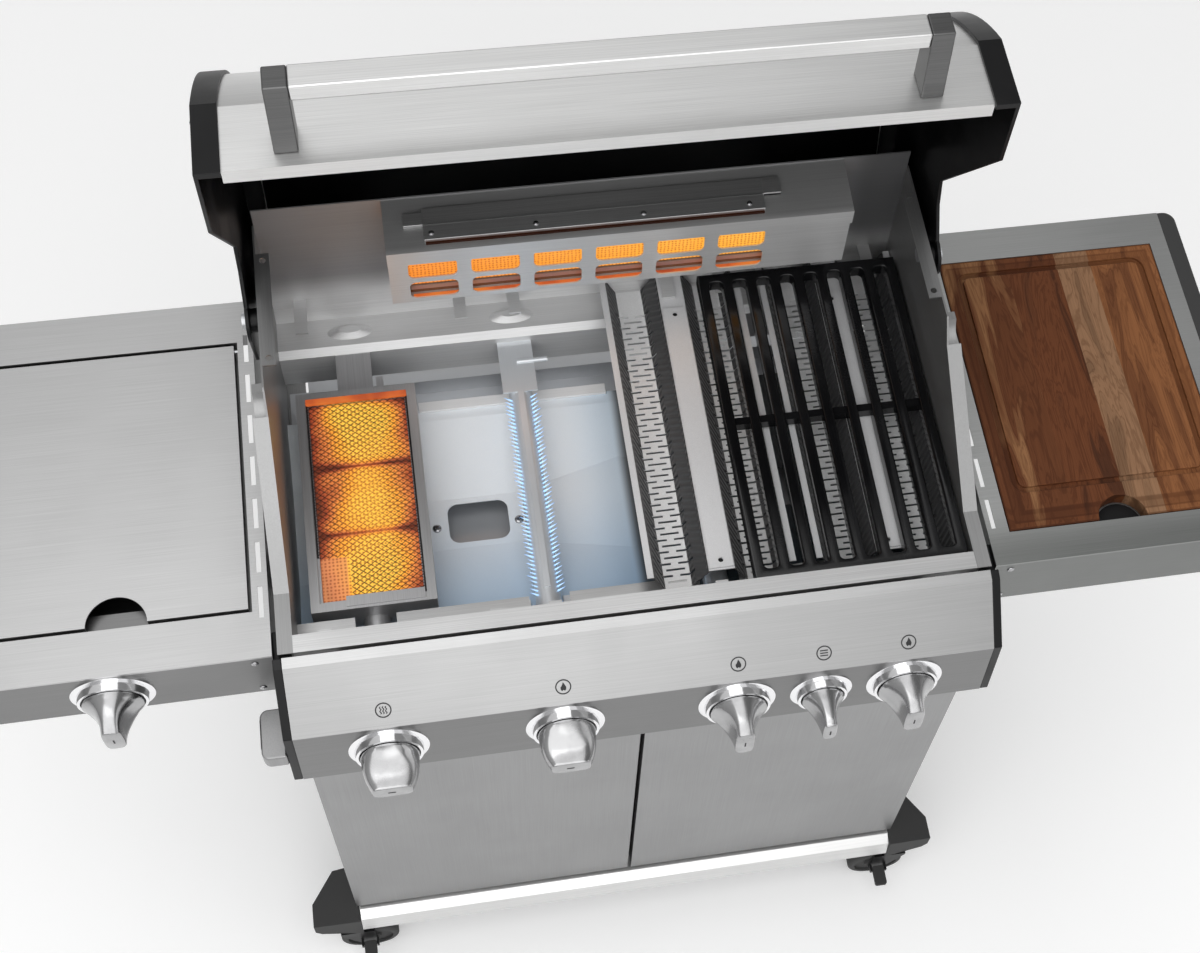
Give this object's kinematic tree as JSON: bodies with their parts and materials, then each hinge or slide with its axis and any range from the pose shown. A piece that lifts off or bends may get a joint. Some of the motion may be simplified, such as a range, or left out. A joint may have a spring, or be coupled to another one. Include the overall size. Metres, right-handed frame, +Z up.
{
  "type": "gas barbecue grill",
  "caption": "Gas barbecue grill on a cabinet cart with an open roll-top hood, grate, tube and infrared burners, rear burner, side burner, side tables and knobs.",
  "frame": {"origin": "on the floor, under the middle of the whole grill with its hood open", "axes": "+X to the grill's right as the cook faces it, +Y from the knobs to the back, +Z up"},
  "size_m": [1.425, 0.6728, 1.443],
  "materials": {
    "stainless_sheet": "brushed",
    "black_enamel": "satin",
    "black_moulding": "matt",
    "cast_iron": "rough enamel",
    "bright_chrome": "polished",
    "wood": "oiled",
    "tyre_rubber": "matt",
    "ceramic": "glowing ceramic",
    "plated_steel": "zinc plated",
    "brass_stem": "machined"
  },
  "bodies": {
    "base": {"cabinet_floor": "black_enamel", "cabinet_right_panel": "stainless_sheet", "cabinet_left_panel": "stainless_sheet", "cabinet_back": "black_enamel", "front_rail": "stainless_sheet", "corner_feet": "black_moulding", "hinge_pins": "plated_steel", "firebox_right_wall": "stainless_sheet", "firebox_left_wall": "stainless_sheet", "firebox_front_wall": "stainless_sheet", "firebox_rear_wall": "stainless_sheet", "drip_funnel": "plated_steel", "sear_burner_body": "stainless_sheet", "sear_burner_screen": "black_enamel", "ceramic_tiles": "ceramic", "tube_burners": "stainless_sheet", "flame_tamers": "stainless_sheet", "rear_burner_housing": "stainless_sheet", "control_panel": "stainless_sheet", "panel_ends": "black_enamel", "knob_bezels": "bright_chrome", "gas_manifold": "plated_steel", "bottle_opener": "bright_chrome", "right_table": "stainless_sheet", "left_table": "stainless_sheet", "table_end_caps": "black_moulding", "side_burner_ring": "cast_iron", "side_burner_trivet": "cast_iron"},
    "hood": {"hood_shell": "stainless_sheet", "hood_end_caps": "black_enamel", "handle_bar": "stainless_sheet", "handle_posts": "bright_chrome"},
    "door_right": {"door_right": "stainless_sheet"},
    "door_left": {"door_left": "stainless_sheet"},
    "grease_tray": {"grease_tray": "plated_steel"},
    "side_burner_lid": {"side_burner_lid": "stainless_sheet"},
    "cutting_board": {"cutting_board": "wood"},
    "grate": {"grate": "cast_iron"},
    "valve_stem_1": {"valve_stem_1": "brass_stem"},
    "knob_1": {"knob_1": "bright_chrome"},
    "valve_stem_2": {"valve_stem_2": "brass_stem"},
    "knob_2": {"knob_2": "bright_chrome"},
    "valve_stem_3": {"valve_stem_3": "brass_stem"},
    "knob_3": {"knob_3": "bright_chrome"},
    "valve_stem_4": {"valve_stem_4": "brass_stem"},
    "knob_4": {"knob_4": "bright_chrome"},
    "valve_stem_5": {"valve_stem_5": "brass_stem"},
    "knob_5": {"knob_5": "bright_chrome"},
    "valve_stem_side_burner": {"valve_stem_side_burner": "brass_stem"},
    "knob_side_burner": {"knob_side_burner": "bright_chrome"},
    "caster_fork_front_right": {"caster_fork_front_right": "plated_steel"},
    "caster_wheel_front_right": {"caster_wheel_front_right": "tyre_rubber"},
    "brake_pedal_front_right": {"brake_pedal_front_right": "black_moulding"},
    "caster_fork_front_left": {"caster_fork_front_left": "plated_steel"},
    "caster_wheel_front_left": {"caster_wheel_front_left": "tyre_rubber"},
    "brake_pedal_front_left": {"brake_pedal_front_left": "black_moulding"},
    "caster_fork_rear_right": {"caster_fork_rear_right": "plated_steel"},
    "caster_wheel_rear_right": {"caster_wheel_rear_right": "tyre_rubber"},
    "caster_fork_rear_left": {"caster_fork_rear_left": "plated_steel"},
    "caster_wheel_rear_left": {"caster_wheel_rear_left": "tyre_rubber"}
  },
  "joints": [
    {"name": "hood_hinge", "type": "hinge", "parent": "base", "child": "hood", "pos_m": [0, 0.14273, 1.005], "axis": [1, 0, 0], "range_deg": [0, 90]},
    {"name": "door_right_hinge", "type": "hinge", "parent": "base", "child": "door_right", "pos_m": [0.3675, -0.24177, 0.156], "axis": [0, 0, 1], "range_deg": [0, 110]},
    {"name": "door_left_hinge", "type": "hinge", "parent": "base", "child": "door_left", "pos_m": [-0.3675, -0.24177, 0.156], "axis": [0, 0, -1], "range_deg": [0, 110]},
    {"name": "grease_tray_slide", "type": "slide", "parent": "base", "child": "grease_tray", "axis": [0, 1, 0], "range_m": [0, 0.3]},
    {"name": "side_burner_lid_hinge", "type": "hinge", "parent": "base", "child": "side_burner_lid", "pos_m": [-0.538, 0.16873, 0.907], "axis": [-1, 0, 0], "range_deg": [0, 95]},
    {"name": "cutting_board_lift", "type": "slide", "parent": "base", "child": "cutting_board", "axis": [0, 0, 1], "range_m": [0, 0.1]},
    {"name": "grate_lift", "type": "slide", "parent": "base", "child": "grate", "axis": [0, 0, 1], "range_m": [0, 0.04]},
    {"name": "valve_stem_1_push", "type": "slide", "parent": "base", "child": "valve_stem_1", "axis": [0, 0.9954, -0.0953], "range_m": [0, 0.004], "stiffness_N_per_m": 900, "springref_m": -0.001},
    {"name": "knob_1_turn", "type": "hinge", "parent": "valve_stem_1", "child": "knob_1", "pos_m": [-0.28, -0.28259, 0.81388], "axis": [0, -0.9954, 0.0953], "range_deg": [-90, 90]},
    {"name": "valve_stem_2_push", "type": "slide", "parent": "base", "child": "valve_stem_2", "axis": [0, 0.9954, -0.0953], "range_m": [0, 0.004], "stiffness_N_per_m": 900, "springref_m": -0.001},
    {"name": "knob_2_turn", "type": "hinge", "parent": "valve_stem_2", "child": "knob_2", "pos_m": [-0.09333, -0.28259, 0.81388], "axis": [0, -0.9954, 0.0953], "range_deg": [-90, 90]},
    {"name": "valve_stem_3_push", "type": "slide", "parent": "base", "child": "valve_stem_3", "axis": [0, 0.9954, -0.0953], "range_m": [0, 0.004], "stiffness_N_per_m": 900, "springref_m": -0.001},
    {"name": "knob_3_turn", "type": "hinge", "parent": "valve_stem_3", "child": "knob_3", "pos_m": [0.09333, -0.28259, 0.81388], "axis": [0, -0.9954, 0.0953], "range_deg": [0, 180]},
    {"name": "valve_stem_4_push", "type": "slide", "parent": "base", "child": "valve_stem_4", "axis": [0, 0.9954, -0.0953], "range_m": [0, 0.004], "stiffness_N_per_m": 900, "springref_m": -0.001},
    {"name": "knob_4_turn", "type": "hinge", "parent": "valve_stem_4", "child": "knob_4", "pos_m": [0.18667, -0.28259, 0.81388], "axis": [0, -0.9954, 0.0953], "range_deg": [0, 180]},
    {"name": "valve_stem_5_push", "type": "slide", "parent": "base", "child": "valve_stem_5", "axis": [0, 0.9954, -0.0953], "range_m": [0, 0.004], "stiffness_N_per_m": 900, "springref_m": -0.001},
    {"name": "knob_5_turn", "type": "hinge", "parent": "valve_stem_5", "child": "knob_5", "pos_m": [0.28, -0.28259, 0.81388], "axis": [0, -0.9954, 0.0953], "range_deg": [0, 180]},
    {"name": "valve_stem_side_burner_push", "type": "slide", "parent": "base", "child": "valve_stem_side_burner", "axis": [0, 1, 0], "range_m": [0, 0.004], "stiffness_N_per_m": 900, "springref_m": -0.001},
    {"name": "knob_side_burner_turn", "type": "hinge", "parent": "valve_stem_side_burner", "child": "knob_side_burner", "pos_m": [-0.551, -0.20527, 0.866], "axis": [0, -1, 0], "range_deg": [0, 180]},
    {"name": "caster_fork_front_right_swivel", "type": "hinge", "parent": "base", "child": "caster_fork_front_right", "pos_m": [0.393, -0.25327, 0.09], "axis": [0, 0, 1], "continuous": true},
    {"name": "caster_wheel_front_right_spin", "type": "hinge", "parent": "caster_fork_front_right", "child": "caster_wheel_front_right", "pos_m": [0.365, -0.25327, 0.04], "axis": [0, 1, 0], "continuous": true},
    {"name": "brake_pedal_front_right_press", "type": "hinge", "parent": "caster_fork_front_right", "child": "brake_pedal_front_right", "pos_m": [0.365, -0.27777, 0.053], "axis": [1, 0, 0], "range_deg": [0, 18]},
    {"name": "caster_fork_front_left_swivel", "type": "hinge", "parent": "base", "child": "caster_fork_front_left", "pos_m": [-0.393, -0.25327, 0.09], "axis": [0, 0, 1], "continuous": true},
    {"name": "caster_wheel_front_left_spin", "type": "hinge", "parent": "caster_fork_front_left", "child": "caster_wheel_front_left", "pos_m": [-0.365, -0.25327, 0.04], "axis": [0, 1, 0], "continuous": true},
    {"name": "brake_pedal_front_left_press", "type": "hinge", "parent": "caster_fork_front_left", "child": "brake_pedal_front_left", "pos_m": [-0.365, -0.27777, 0.053], "axis": [1, 0, 0], "range_deg": [0, 18]},
    {"name": "caster_fork_rear_right_swivel", "type": "hinge", "parent": "base", "child": "caster_fork_rear_right", "pos_m": [0.393, 0.22673, 0.09], "axis": [0, 0, 1], "continuous": true},
    {"name": "caster_wheel_rear_right_spin", "type": "hinge", "parent": "caster_fork_rear_right", "child": "caster_wheel_rear_right", "pos_m": [0.365, 0.22673, 0.04], "axis": [0, 1, 0], "continuous": true},
    {"name": "caster_fork_rear_left_swivel", "type": "hinge", "parent": "base", "child": "caster_fork_rear_left", "pos_m": [-0.393, 0.22673, 0.09], "axis": [0, 0, 1], "continuous": true},
    {"name": "caster_wheel_rear_left_spin", "type": "hinge", "parent": "caster_fork_rear_left", "child": "caster_wheel_rear_left", "pos_m": [-0.365, 0.22673, 0.04], "axis": [0, 1, 0], "continuous": true}
  ]
}
